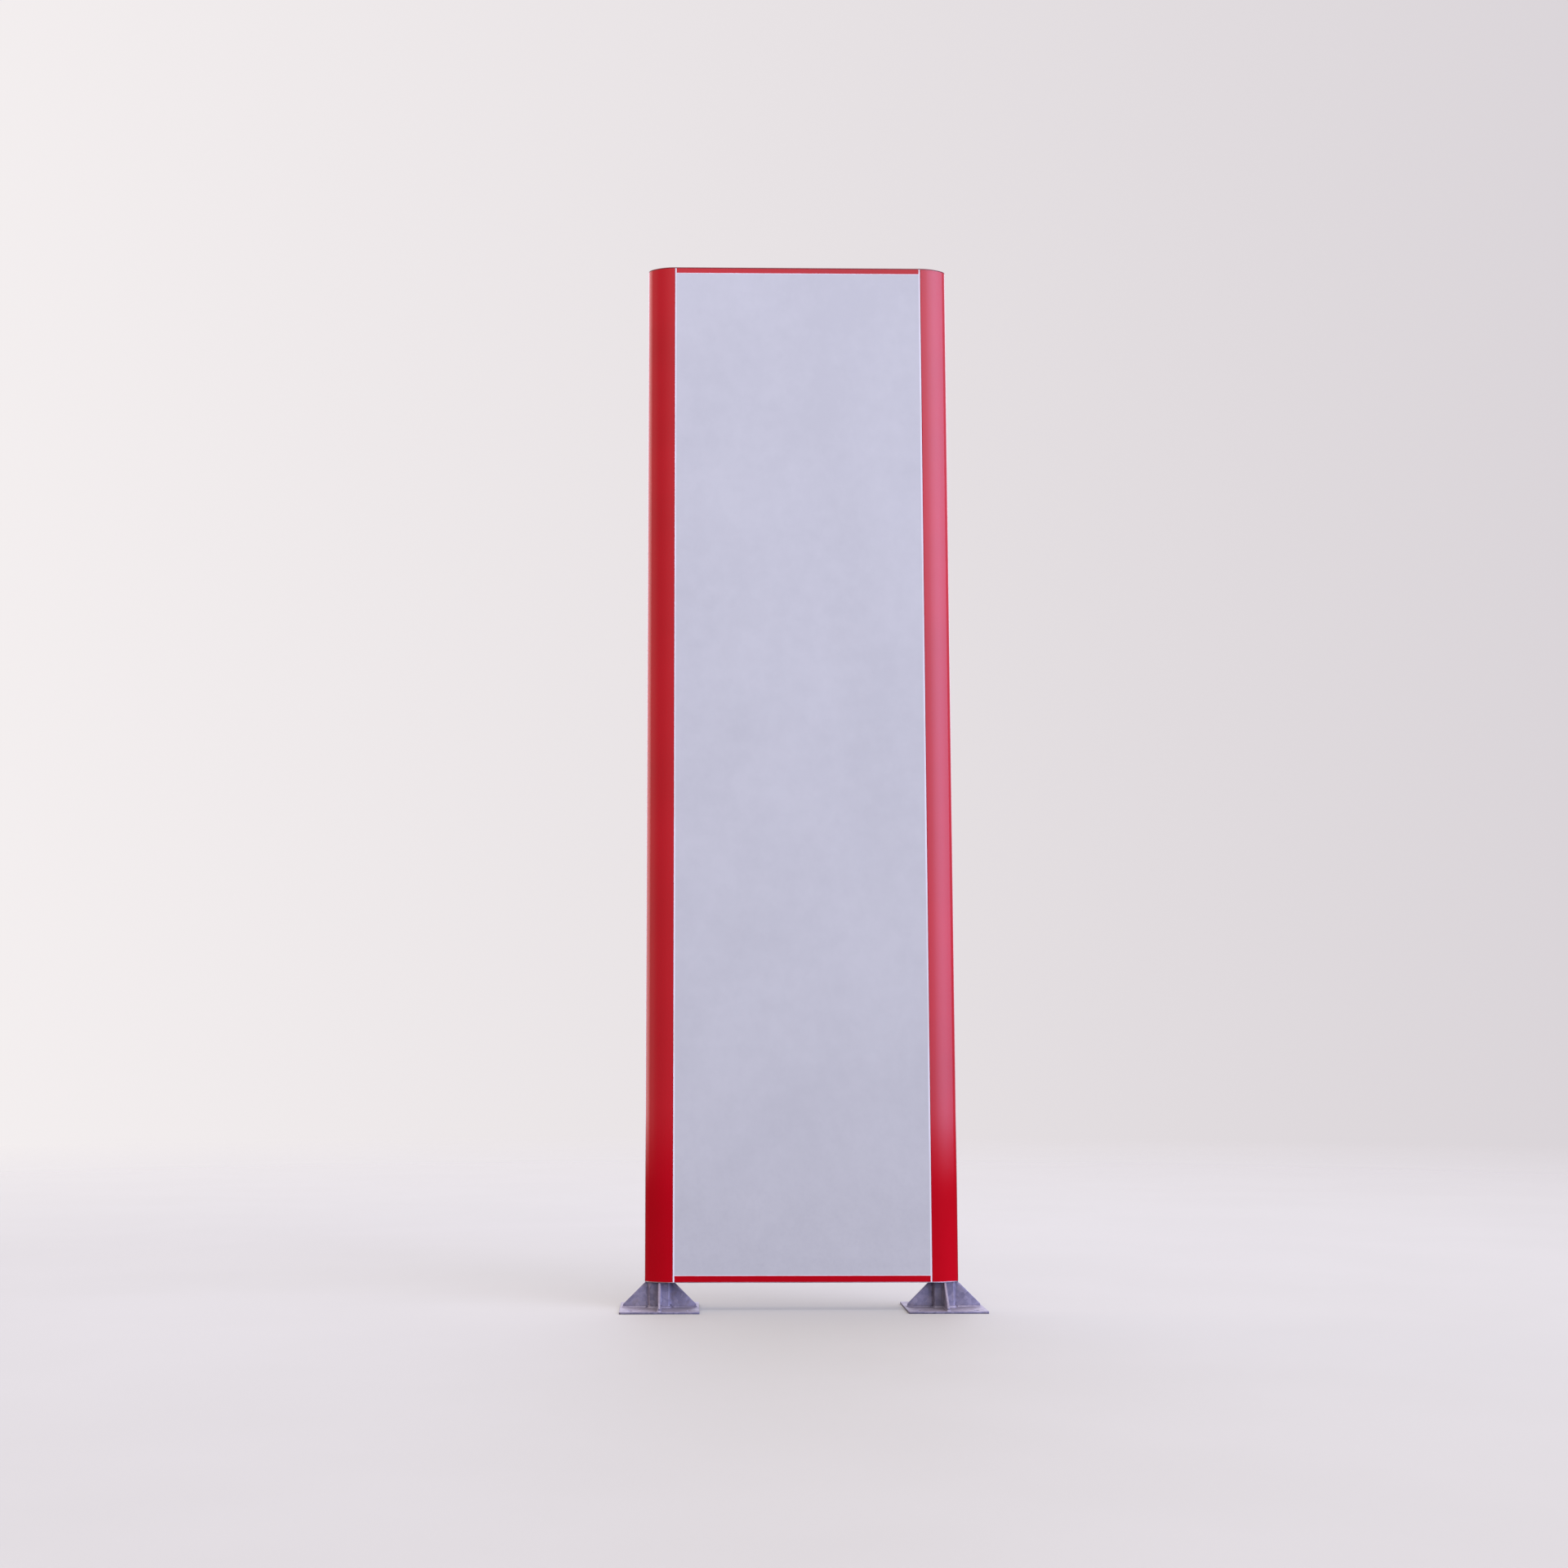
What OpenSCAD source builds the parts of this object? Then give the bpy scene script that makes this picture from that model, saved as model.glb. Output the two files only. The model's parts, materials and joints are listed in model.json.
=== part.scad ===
// Free-standing double-sided partition wall: two hollow rounded uprights, a pale infill panel
// on each face, red strips at the head and the foot, and two steel feet that anchor to the floor.
// Millimetres. +Z is up and the front face looks along -Y. The origin is on the floor, midway
// between the two feet and midway between the two faces.

/* [Wall] */
// Height from the floor to the top of the cover
wall_h = 3000; // [2200:10:3700]
// Distance between the joint lines of the two uprights
infill_w = 720; // [560:5:1100]
// Thickness of the wall from the front face to the rear face
wall_d = 90; // [86:1:116]
// Height of the wall's underside above the floor
ground_gap = 76; // [64:1:120]

/* [Uprights] */
// Reach of the rounded nose beyond the joint line
nose_l = 78; // [76:1:100]
// Radius at the tip of the nose
tip_r = 28; // [27:0.5:36]
// Wall of the upright extrusion
skin_t = 2.5; // [2:0.1:3.2]
// Depth of the recess behind the joint line
recess_l = 4; // [3:0.5:6]
// Thickness of the web that closes the back of the nose
web_t = 2.5; // [2:0.1:3.5]
// Thickness of the two webs that hold the post
chamber_t = 2; // [1.5:0.1:3]
// Outer radius of the screw ports
port_r = 4.5; // [3.5:0.1:5]
// Distance of the screw ports from the joint line
port_x = 22; // [16:1:26]
// Chamfer on the lips beside the edge trims
lip_chamfer = 2; // [1:0.1:2]

/* [Panels and strips] */
// Thickness of the infill panels and of the strips at the head and the foot
panel_t = 3; // [2:0.5:4]
// Visible height of the strip at the head, with the edge of the cover
head_strip_h = 17; // [14:1:30]
// Visible height of the strip at the foot, with the edge of the closing plate
foot_strip_h = 19; // [14:1:30]
// Visible width of the upright edge trims
trim_w = 4; // [2:0.5:6]
// Thickness of the hidden wings of the edge trims
wing_t = 1.5; // [1:0.1:2]
// Reach of the trim wings behind the panels
wing_l = 8; // [5:1:12]
// Visible height of the beads above and below the panels
bead_h = 2; // [1:0.5:4]
// Thickness of the top cover
cover_t = 3; // [3:0.5:4]
// Thickness of the plates that close the underside
closer_t = 2; // [1.5:0.5:4]

/* [Inner frame] */
// Height of a cross rail
rail_h = 30; // [20:1:40]
// Depth of a cross rail
rail_d = 50; // [40:1:56]
// Wall of a cross rail
rail_wall = 2; // [1.5:0.1:3]
// Length of each leg of a rail cleat
cleat_l = 36; // [30:1:44]
// Thickness of a rail cleat
cleat_t = 3; // [2:0.5:4]
// Width of the crown of a panel stiffener
hat_w = 30; // [20:1:50]
// Width of each bonded flange of a panel stiffener
hat_flange = 20; // [12:1:30]
// Sheet thickness of a panel stiffener
hat_t = 1.5; // [1:0.1:2.5]
// Thickness of the mounting tape between the stiffeners and the rails
tape_t = 1; // [0.5:0.1:2]

/* [Feet] */
// Width of a base plate along the wall
plate_w = 220; // [190:5:280]
// Depth of a base plate across the wall
plate_d = 240; // [190:5:320]
// Thickness of a base plate
plate_t = 6; // [5:0.5:12]
// Width of the post along the wall
post_w = 60; // [50:1:60]
// Depth of the post across the wall
post_d = 40; // [30:1:40]
// Wall of the post
post_wall = 4; // [3:0.5:5]
// Outer corner radius of the post
post_r = 6; // [5.5:0.5:8]
// Length of the post above its base plate
post_l = 700; // [300:10:900]
// Thickness of the gusset plates
gusset_t = 6; // [5:0.5:8]
// Distance from the toe of a gusset to the edge of the base plate
gusset_inset = 8; // [4:1:15]
// Height of the blunt toe of a gusset
gusset_toe = 8; // [5:1:15]
// Length of the flat top of the side gussets
side_land = 10; // [8:1:20]
// Length of the flat top of the front and rear gussets
face_land = 18; // [10:1:30]
// Clipped inner corner of a gusset, which clears the post weld
gusset_snip = 6; // [3:1:10]
// Diameter of the anchor holes
anchor_d = 14; // [10:0.5:18]
// Distance from the anchor holes to the edges of the base plate
anchor_inset = 30; // [20:1:40]
// Diameter of the vent hole under the post
vent_d = 20; // [12:1:26]

/* [Fasteners] */
// Radius of the bolts that hold the uprights to the posts
bolt_r = 5; // [4:0.5:6]
// Number of bolts in each post
bolt_count = 4; // [2:1:5]
// Radius of the frame screws
screw_r = 2.5; // [2:0.1:3]
// Radius of the screws in the covers
cover_screw_r = 2; // [1.5:0.1:2]

/* [Hidden] */
$fn = 96;
post_fit = 0.3;      // between the post and its chamber
slide_fit = 0.5;     // between parts that slide past each other
screw_fit = 0.15;    // around every screw and bolt
floor_fit = 1;       // between the gussets and the plates above them
post_hole_fit = 1;   // around the post where it passes the closing plates
joint_x = infill_w / 2;
half_d = wall_d / 2;
tip_x = nose_l - tip_r;
flank_r = (tip_x * tip_x + half_d * half_d - tip_r * tip_r) / (2 * (half_d - tip_r));
web_x = joint_x + recess_l;
chamber_half = post_d / 2 + post_fit;
post_x = joint_x + recess_l + web_t + post_fit + post_w / 2;
post_z = plate_t;
port_y = chamber_half + chamber_t + port_r - 1;
foot_z = ground_gap + closer_t;
head_z = wall_h - cover_t;
panel_half = joint_x - trim_w;
panel_z0 = ground_gap + foot_strip_h + bead_h;
panel_z1 = wall_h - head_strip_h - bead_h;
channel_half = panel_half - wing_l - slide_fit;
rail_count = 5;      // foot, lower, middle, upper and head rail
rail_z0 = foot_z + panel_t;
rail_z1 = head_z - panel_t - rail_h;
rail_step = (rail_z1 - rail_z0) / (rail_count - 1);
rail_half = web_x - slide_fit;
cleat_screw_y = chamber_half + chamber_t + 8;
cleat_half = cleat_screw_y + 7;
cleat_rail_y = rail_d / 4;
hat_x = panel_half / 2;
hat_h = half_d - panel_t - rail_d / 2 - tape_t;
hat_end = 3;
cover_screw_x = joint_x * 2 / 3;
closer_screw_x = [cover_screw_x, cover_screw_x / 3];
head_r = 2 * screw_r;
head_h = 1.1 * screw_r;
cover_head_r = 2 * cover_screw_r;
cover_head_h = 1.1 * cover_screw_r;
bolt_head_h = 1.28 * bolt_r;
washer_t = 2;
bolt_z0 = rail_z0 + rail_h + cleat_l + 20;
bolt_z1 = min(post_z + post_l, rail_z0 + rail_step) - 40;
bolt_step = (bolt_z1 - bolt_z0) / (bolt_count - 1);
gusset_h = ground_gap - plate_t - floor_fit;
paint_red = [0.66, 0.05, 0.10];
pale_grey = [0.76, 0.77, 0.82];
white_trim = [0.93, 0.93, 0.94];
bare_aluminium = [0.78, 0.79, 0.80];
galvanised = [0.52, 0.51, 0.58];
zinc = [0.70, 0.70, 0.72];
dark_plastic = [0.12, 0.12, 0.13];
tape_grey = [0.35, 0.35, 0.37];

// ---- shared outlines and repeats

// side is 1 on the right and -1 on the left
module on_side(side) {
    if (side > 0) children();
    else mirror([1, 0, 0]) children();
}

// face is 1 on the front and -1 on the rear
module on_face(face) {
    if (face > 0) children();
    else mirror([0, 1, 0]) children();
}

// Outline of the nose moved inwards by inset: two flank arcs and a tip arc, tangent to each other
module nose_outline(inset) {
    flank = flank_r - inset;
    tip = tip_r - inset;
    tangent_x = tip_x * flank / (flank_r - tip_r);
    intersection() {
        translate([0, half_d - flank_r]) circle(flank, $fn = 360);
        translate([0, flank_r - half_d]) circle(flank, $fn = 360);
        translate([0, -half_d]) square([tangent_x, wall_d]);
    }
    intersection() {
        translate([tip_x, 0]) circle(tip);
        translate([tangent_x, -half_d]) square([nose_l, wall_d]);
    }
}

module rounded_rectangle(w, d, r) {
    square([w - 2 * r, d], center = true);
    square([w, d - 2 * r], center = true);
    for (x = [-1, 1], y = [-1, 1])
        translate([x * (w / 2 - r), y * (d / 2 - r)]) circle(r);
}

// A screw or bolt whose head seats on z = 0 and whose shank points up
module fastener(shank_r, shank_l, top_r, top_h) {
    cylinder(h = shank_l, r = shank_r);
    translate([0, 0, -top_h]) cylinder(h = top_h, r = top_r);
}

// A countersunk screw whose flat head lies at z = 0 and whose shank points down
module countersunk(shank_r, shank_l, grow) {
    top_r = 2 * shank_r;
    translate([0, 0, -shank_l]) cylinder(h = shank_l, r = shank_r + grow);
    translate([0, 0, -(top_r - shank_r)]) cylinder(h = top_r - shank_r, r1 = shank_r + grow, r2 = top_r + grow);
}

module at_ports() {
    for (y = [-1, 1]) translate([joint_x + port_x, y * port_y, 0]) children();
}

module at_bolts() {
    for (i = [0 : bolt_count - 1]) translate([web_x, 0, bolt_z0 + i * bolt_step]) children();
}

// Height of the underside of rail i, counted from the foot
function rail_z(i) = rail_z0 + i * rail_step;

// ---- uprights

module upright_section() {
    difference() {
        nose_outline(0);
        translate([-1, skin_t - half_d]) square([recess_l + 1, wall_d - 2 * skin_t]);
        for (face = [-1, 1]) on_face(face)
            polygon([[-1, -half_d - 1], [lip_chamfer + 1, -half_d - 1], [-1, lip_chamfer + 1 - half_d]]);
        difference() {
            intersection() {
                nose_outline(skin_t);
                translate([recess_l + web_t, -half_d]) square([nose_l, wall_d]);
            }
            for (face = [-1, 1]) on_face(face) {
                translate([0, chamber_half]) square([nose_l, chamber_t]);
                translate([port_x, port_y]) circle(port_r);
            }
        }
        for (y = [-1, 1]) translate([port_x, y * port_y]) circle(cover_screw_r + screw_fit);
    }
}

module upright(side) {
    color(paint_red) on_side(side) difference() {
        translate([joint_x, 0, foot_z]) linear_extrude(head_z - foot_z) upright_section();
        at_bolts() rotate([0, 90, 0]) translate([0, 0, -1])
            cylinder(h = web_t + 2, r = bolt_r + screw_fit);
        at_cleats() cleat_web_holes();
    }
}

// ---- infill panels, trims, beads and strips

module panel(face) {
    color(pale_grey) on_face(face)
        translate([-panel_half, -half_d, panel_z0]) cube([2 * panel_half, panel_t, panel_z1 - panel_z0]);
}

// Section of an edge trim: a stem that shows, a wing behind the lip and a wing behind the panel
module trim_section() {
    stem_d = max(skin_t, panel_t) + wing_t;
    translate([-trim_w, 0]) square([trim_w, stem_d]);
    translate([-trim_w, skin_t]) square([trim_w + recess_l - slide_fit, wing_t]);
    translate([-trim_w - wing_l, panel_t]) square([trim_w + wing_l, wing_t]);
}

module trim(side, face) {
    color(white_trim) on_side(side) on_face(face)
        translate([joint_x, -half_d, foot_z]) linear_extrude(head_z - foot_z) trim_section();
}

module bead(face, z) {
    color(white_trim) on_face(face)
        translate([-panel_half, -half_d, z]) cube([2 * panel_half, panel_t, bead_h]);
}

// A folded channel with its web at z = 0 and its flanges up; the web is notched for the trims
module channel(flange_h) {
    for (face = [-1, 1]) on_face(face)
        translate([-panel_half, -half_d, 0]) cube([2 * panel_half, panel_t, flange_h]);
    translate([-channel_half, -half_d, 0]) cube([2 * channel_half, wall_d, panel_t]);
}

module foot_channel() {
    color(paint_red) difference() {
        translate([0, 0, foot_z]) channel(ground_gap + foot_strip_h - foot_z);
        at_middle_closer_screws() cylinder(h = closer_t + 2 * panel_t, r = cover_screw_r + screw_fit);
    }
}

module head_channel() {
    color(paint_red) difference() {
        translate([0, 0, head_z]) mirror([0, 0, 1]) channel(head_z - wall_h + head_strip_h);
        at_cover_rail_screws() countersunk(cover_screw_r, cover_screw_l, screw_fit);
    }
}

// ---- top cover and the plates that close the underside

module cover_outline() {
    square([infill_w, wall_d], center = true);
    for (side = [-1, 1]) on_side(side) translate([joint_x, 0]) nose_outline(0);
}

cover_screw_l = cover_t + panel_t + rail_wall + 3;
module at_cover_rail_screws() {
    for (side = [-1, 1]) translate([side * cover_screw_x, 0, wall_h]) children();
}

module at_cover_port_screws() {
    for (side = [-1, 1]) on_side(side) at_ports() translate([0, 0, wall_h]) children();
}

module top_cover() {
    color(dark_plastic) difference() {
        translate([0, 0, head_z]) linear_extrude(cover_t) cover_outline();
        at_cover_rail_screws() countersunk(cover_screw_r, cover_screw_l, screw_fit);
        at_cover_port_screws() countersunk(cover_screw_r, cover_screw_l, screw_fit);
    }
}

module at_middle_closer_screws() {
    for (side = [-1, 1], x = closer_screw_x) translate([side * x, 0, ground_gap]) children();
}

module middle_closer() {
    color(bare_aluminium) difference() {
        translate([-joint_x, -half_d, ground_gap]) cube([infill_w, wall_d, closer_t]);
        at_middle_closer_screws() translate([0, 0, -1])
            cylinder(h = closer_t + 2, r = cover_screw_r + screw_fit);
    }
}

module side_closer(side) {
    color(bare_aluminium) on_side(side) difference() {
        translate([joint_x, 0, ground_gap]) linear_extrude(closer_t) nose_outline(0);
        translate([post_x, 0, ground_gap - 1]) linear_extrude(closer_t + 2)
            rounded_rectangle(post_w + 2 * post_hole_fit, post_d + 2 * post_hole_fit, post_r + post_hole_fit);
        at_ports() translate([0, 0, ground_gap - 1])
            cylinder(h = closer_t + 2, r = cover_screw_r + screw_fit);
    }
}

// ---- inner frame

module rail(i) {
    color(bare_aluminium) difference() {
        translate([-rail_half, -rail_d / 2, rail_z(i)]) cube([2 * rail_half, rail_d, rail_h]);
        translate([-rail_half - 1, rail_wall - rail_d / 2, rail_z(i) + rail_wall])
            cube([2 * rail_half + 2, rail_d - 2 * rail_wall, rail_h - 2 * rail_wall]);
        for (side = [-1, 1]) on_side(side) at_cleats() cleat_rail_holes();
        at_middle_closer_screws() cylinder(h = closer_t + panel_t + 2 * rail_wall, r = cover_screw_r + screw_fit);
        at_cover_rail_screws() countersunk(cover_screw_r, cover_screw_l, screw_fit);
    }
}

// Puts children at the corner between each rail and the web of the right upright, with the
// rail face at z = 0; the head rail has its cleat below it and the others have theirs above
module at_cleats() {
    for (i = [0 : rail_count - 1])
        if (i < rail_count - 1) translate([web_x, 0, rail_z(i) + rail_h]) children();
        else translate([web_x, 0, rail_z(i)]) mirror([0, 0, 1]) children();
}

module at_cleat_web_screws() {
    for (y = [-1, 1]) translate([-cleat_t, y * cleat_screw_y, cleat_l / 2]) rotate([0, 90, 0]) children();
}

module at_cleat_rail_screws() {
    for (y = [-1, 1]) translate([-cleat_l + 10, y * cleat_rail_y, cleat_t]) mirror([0, 0, 1]) children();
}

cleat_screw_l = cleat_t + web_t + 5;
module cleat_web_holes() {
    at_cleat_web_screws() translate([0, 0, -1]) cylinder(h = cleat_t + web_t + 2, r = screw_r + screw_fit);
}

module cleat_rail_holes() {
    at_cleat_rail_screws() translate([0, 0, -1]) cylinder(h = cleat_t + rail_wall + 2, r = screw_r + screw_fit);
}

module cleats(side) {
    color(zinc) on_side(side) at_cleats() difference() {
        union() {
            translate([-cleat_t, -cleat_half, 0]) cube([cleat_t, 2 * cleat_half, cleat_l]);
            translate([-cleat_l, -rail_d / 2, 0]) cube([cleat_l, rail_d, cleat_t]);
        }
        cleat_web_holes();
        cleat_rail_holes();
    }
}

module cleat_screws(side) {
    color(zinc) on_side(side) at_cleats() {
        at_cleat_web_screws() fastener(screw_r, cleat_screw_l, head_r, head_h);
        at_cleat_rail_screws() fastener(screw_r, cleat_screw_l, head_r, head_h);
    }
}

// Hat-shaped stiffener bonded behind a panel, its crown towards the rails
module stiffener(side, face) {
    crown_y = -rail_d / 2 - tape_t;
    color(bare_aluminium) on_side(side) on_face(face)
        translate([hat_x, 0, panel_z0 + hat_end]) linear_extrude(panel_z1 - panel_z0 - 2 * hat_end) {
            translate([-hat_w / 2, crown_y - hat_t]) square([hat_w, hat_t]);
            for (edge = [0, 1]) mirror([edge, 0]) {
                translate([hat_w / 2 - hat_t, crown_y - hat_h]) square([hat_t, hat_h]);
                translate([hat_w / 2 - hat_t, crown_y - hat_h]) square([hat_flange + hat_t, hat_t]);
            }
        }
}

// Pads of mounting tape where the stiffeners cross the rails
module tape(face) {
    z_lo = panel_z0 + hat_end;
    z_hi = panel_z1 - hat_end;
    color(tape_grey) on_face(face) for (side = [-1, 1], i = [0 : rail_count - 1]) {
        z0 = max(rail_z(i), z_lo);
        z1 = min(rail_z(i) + rail_h, z_hi);
        translate([side * hat_x - hat_w / 2, -rail_d / 2 - tape_t, z0]) cube([hat_w, tape_t, z1 - z0]);
    }
}

// ---- feet

module post(side) {
    color(galvanised) on_side(side) difference() {
        translate([post_x, 0, post_z]) linear_extrude(post_l) difference() {
            rounded_rectangle(post_w, post_d, post_r);
            rounded_rectangle(post_w - 2 * post_wall, post_d - 2 * post_wall, post_r - post_wall);
        }
        at_bolts() rotate([0, 90, 0]) translate([0, 0, web_t])
            cylinder(h = post_fit + post_wall + 1, r = bolt_r + screw_fit);
    }
}

module post_cap(side) {
    plug = 2 * (post_wall + post_fit);
    color(dark_plastic) on_side(side) translate([post_x, 0, post_z + post_l]) {
        linear_extrude(3) rounded_rectangle(post_w, post_d, post_r);
        translate([0, 0, -12]) linear_extrude(12) square([post_w - plug - 4, post_d - plug - 4], center = true);
        translate([0, 0, -6]) linear_extrude(6)
            rounded_rectangle(post_w - plug, post_d - plug, max(post_r - post_wall - post_fit, 0.5));
    }
}

module base_plate(side) {
    color(galvanised) on_side(side) translate([post_x, 0, 0]) difference() {
        translate([-plate_w / 2, -plate_d / 2, 0]) cube([plate_w, plate_d, plate_t]);
        for (x = [-1, 1], y = [-1, 1])
            translate([x * (plate_w / 2 - anchor_inset), y * (plate_d / 2 - anchor_inset), -1])
                cylinder(h = plate_t + 2, r = anchor_d / 2);
        translate([0, 0, -1]) cylinder(h = plate_t + 2, r = vent_d / 2);
    }
}

// A gusset that stands on the base plate, its upright edge on x = 0 and its toe towards +X
module gusset(reach, land) {
    rotate([90, 0, 0]) translate([0, 0, -gusset_t / 2]) linear_extrude(gusset_t)
        polygon([[gusset_snip, 0], [reach, 0], [reach, gusset_toe], [land, gusset_h],
                 [0, gusset_h], [0, gusset_snip]]);
}

module side_gusset(side, outwards) {
    reach = plate_w / 2 - gusset_inset - post_w / 2;
    color(galvanised) on_side(side) translate([post_x + outwards * post_w / 2, 0, plate_t])
        on_side(outwards) gusset(reach, side_land);
}

module face_gusset(side, face) {
    reach = plate_d / 2 - gusset_inset - post_d / 2;
    color(galvanised) on_side(side) on_face(face) translate([post_x, -post_d / 2, plate_t])
        rotate([0, 0, -90]) gusset(reach, face_land);
}

// ---- fasteners

module post_bolts(side) {
    color(zinc) on_side(side) at_bolts() rotate([0, 90, 0]) translate([0, 0, -washer_t]) {
        cylinder(h = washer_t + web_t + post_fit + post_wall + bolt_r, r = bolt_r);
        translate([0, 0, -bolt_head_h]) cylinder(h = bolt_head_h, r = 1.85 * bolt_r, $fn = 6);
    }
}

module post_washers(side) {
    color(zinc) on_side(side) at_bolts() rotate([0, 90, 0]) translate([0, 0, -washer_t]) difference() {
        cylinder(h = washer_t, r = 2 * bolt_r);
        translate([0, 0, -1]) cylinder(h = washer_t + 2, r = bolt_r + screw_fit);
    }
}

module top_cover_screws() {
    color(zinc) {
        at_cover_rail_screws() countersunk(cover_screw_r, cover_screw_l, 0);
        at_cover_port_screws() countersunk(cover_screw_r, cover_screw_l + 8, 0);
    }
}

module closer_screws() {
    color(zinc) {
        at_middle_closer_screws()
            fastener(cover_screw_r, closer_t + panel_t + rail_wall + 3, cover_head_r, cover_head_h);
        for (side = [-1, 1]) on_side(side) at_ports() translate([0, 0, ground_gap])
            fastener(cover_screw_r, closer_t + 14, cover_head_r, cover_head_h);
    }
}

upright(-1);  // left_upright
upright(1);  // right_upright
panel(1);  // front_panel
panel(-1);  // rear_panel
trim(-1, 1);  // front_left_trim
trim(1, 1);  // front_right_trim
trim(-1, -1);  // rear_left_trim
trim(1, -1);  // rear_right_trim
bead(1, panel_z1);  // front_head_bead
bead(1, panel_z0 - bead_h);  // front_foot_bead
bead(-1, panel_z1);  // rear_head_bead
bead(-1, panel_z0 - bead_h);  // rear_foot_bead
head_channel();
foot_channel();
top_cover();
middle_closer();
side_closer(-1);  // left_closer
side_closer(1);  // right_closer
rail(0);  // foot_rail
rail(1);  // lower_rail
rail(2);  // middle_rail
rail(3);  // upper_rail
rail(4);  // head_rail
cleats(-1);  // left_cleats
cleats(1);  // right_cleats
stiffener(-1, 1);  // front_left_stiffener
stiffener(1, 1);  // front_right_stiffener
stiffener(-1, -1);  // rear_left_stiffener
stiffener(1, -1);  // rear_right_stiffener
tape(1);  // front_tape
tape(-1);  // rear_tape
post(-1);  // left_post
post(1);  // right_post
post_cap(-1);  // left_post_cap
post_cap(1);  // right_post_cap
base_plate(-1);  // left_base_plate
base_plate(1);  // right_base_plate
side_gusset(-1, 1);  // left_outer_gusset
side_gusset(-1, -1);  // left_inner_gusset
face_gusset(-1, 1);  // left_front_gusset
face_gusset(-1, -1);  // left_rear_gusset
side_gusset(1, 1);  // right_outer_gusset
side_gusset(1, -1);  // right_inner_gusset
face_gusset(1, 1);  // right_front_gusset
face_gusset(1, -1);  // right_rear_gusset
post_bolts(-1);  // left_post_bolts
post_bolts(1);  // right_post_bolts
post_washers(-1);  // left_post_washers
post_washers(1);  // right_post_washers
cleat_screws(-1);  // left_cleat_screws
cleat_screws(1);  // right_cleat_screws
top_cover_screws();
closer_screws();
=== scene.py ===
import bpy
import json
import numpy as np
from mathutils.geometry import tessellate_polygon
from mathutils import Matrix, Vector


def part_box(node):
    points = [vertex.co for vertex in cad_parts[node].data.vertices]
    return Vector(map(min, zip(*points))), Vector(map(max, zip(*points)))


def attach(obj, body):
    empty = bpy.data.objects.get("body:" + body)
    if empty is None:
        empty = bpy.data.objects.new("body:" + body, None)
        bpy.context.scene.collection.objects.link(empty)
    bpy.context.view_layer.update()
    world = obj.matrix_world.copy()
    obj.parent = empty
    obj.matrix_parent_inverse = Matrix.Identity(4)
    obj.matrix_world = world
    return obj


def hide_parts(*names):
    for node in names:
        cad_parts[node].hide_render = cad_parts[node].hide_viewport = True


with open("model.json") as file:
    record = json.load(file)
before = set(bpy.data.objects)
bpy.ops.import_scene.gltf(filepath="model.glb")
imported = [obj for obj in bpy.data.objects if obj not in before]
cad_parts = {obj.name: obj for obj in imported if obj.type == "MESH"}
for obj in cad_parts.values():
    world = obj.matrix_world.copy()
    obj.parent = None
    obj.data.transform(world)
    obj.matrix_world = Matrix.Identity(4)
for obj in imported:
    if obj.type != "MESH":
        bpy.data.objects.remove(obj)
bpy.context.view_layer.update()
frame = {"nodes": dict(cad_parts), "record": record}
nodes = frame["nodes"]
print("frame loaded,", len(nodes), "nodes")

sides = ("left", "right")


def addNode(tree, kind, **settings):
    node = tree.nodes.new(kind)
    for name, value in settings.items():
        setattr(node, name, value)
    return node


def feed(tree, socket, value):
    if isinstance(value, bpy.types.NodeSocket):
        tree.links.new(value, socket)
    else:
        socket.default_value = value


def mathNode(tree, operation, first, second=0.0):
    node = addNode(tree, "ShaderNodeMath", operation=operation)
    feed(tree, node.inputs[0], first)
    feed(tree, node.inputs[1], second)
    return node.outputs[0]


# Two values in one, each times its share
def weighted(tree, first, share, second, rest):
    scaled = mathNode(tree, "MULTIPLY", second, rest)
    return mathNode(tree, "ADD", mathNode(tree, "MULTIPLY", first, share), scaled)


def mapRange(tree, value, low, high, toLow, toHigh):
    node = addNode(tree, "ShaderNodeMapRange")
    feed(tree, node.inputs["Value"], value)
    limits = {"From Min": low, "From Max": high, "To Min": toLow, "To Max": toHigh}
    for name, number in limits.items():
        node.inputs[name].default_value = number
    return node.outputs["Result"]


def ramp(tree, value, *stops):
    node = addNode(tree, "ShaderNodeValToRGB")
    elements = node.color_ramp.elements
    while len(elements) < len(stops):
        elements.new(1.0)
    for element, (place, colour) in zip(elements, stops):
        element.position = place
        element.color = colour
    feed(tree, node.inputs[0], value)
    return node.outputs["Color"]


def blendColours(tree, amount, under, over):
    node = addNode(tree, "ShaderNodeMix", data_type="RGBA")
    feed(tree, node.inputs[0], amount)
    feed(tree, node.inputs[6], under)
    feed(tree, node.inputs[7], over)
    return node.outputs[2]


# Object coordinates in metres, moved and then stretched by a Mapping node
def objectPlace(tree, stretch=(1, 1, 1), move=(0, 0, 0)):
    mapping = addNode(tree, "ShaderNodeMapping")
    mapping.inputs["Scale"].default_value = stretch
    mapping.inputs["Location"].default_value = move
    tree.links.new(addNode(tree, "ShaderNodeTexCoord").outputs["Object"], mapping.inputs["Vector"])
    return mapping.outputs[0]


def noise(tree, scale, detail=3.0, rough=0.5, stretch=(1, 1, 1), move=(0, 0, 0)):
    node = addNode(tree, "ShaderNodeTexNoise")
    node.inputs["Scale"].default_value = scale
    node.inputs["Detail"].default_value = detail
    node.inputs["Roughness"].default_value = rough
    tree.links.new(objectPlace(tree, stretch, move), node.inputs["Vector"])
    return node.outputs["Fac"]


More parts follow.
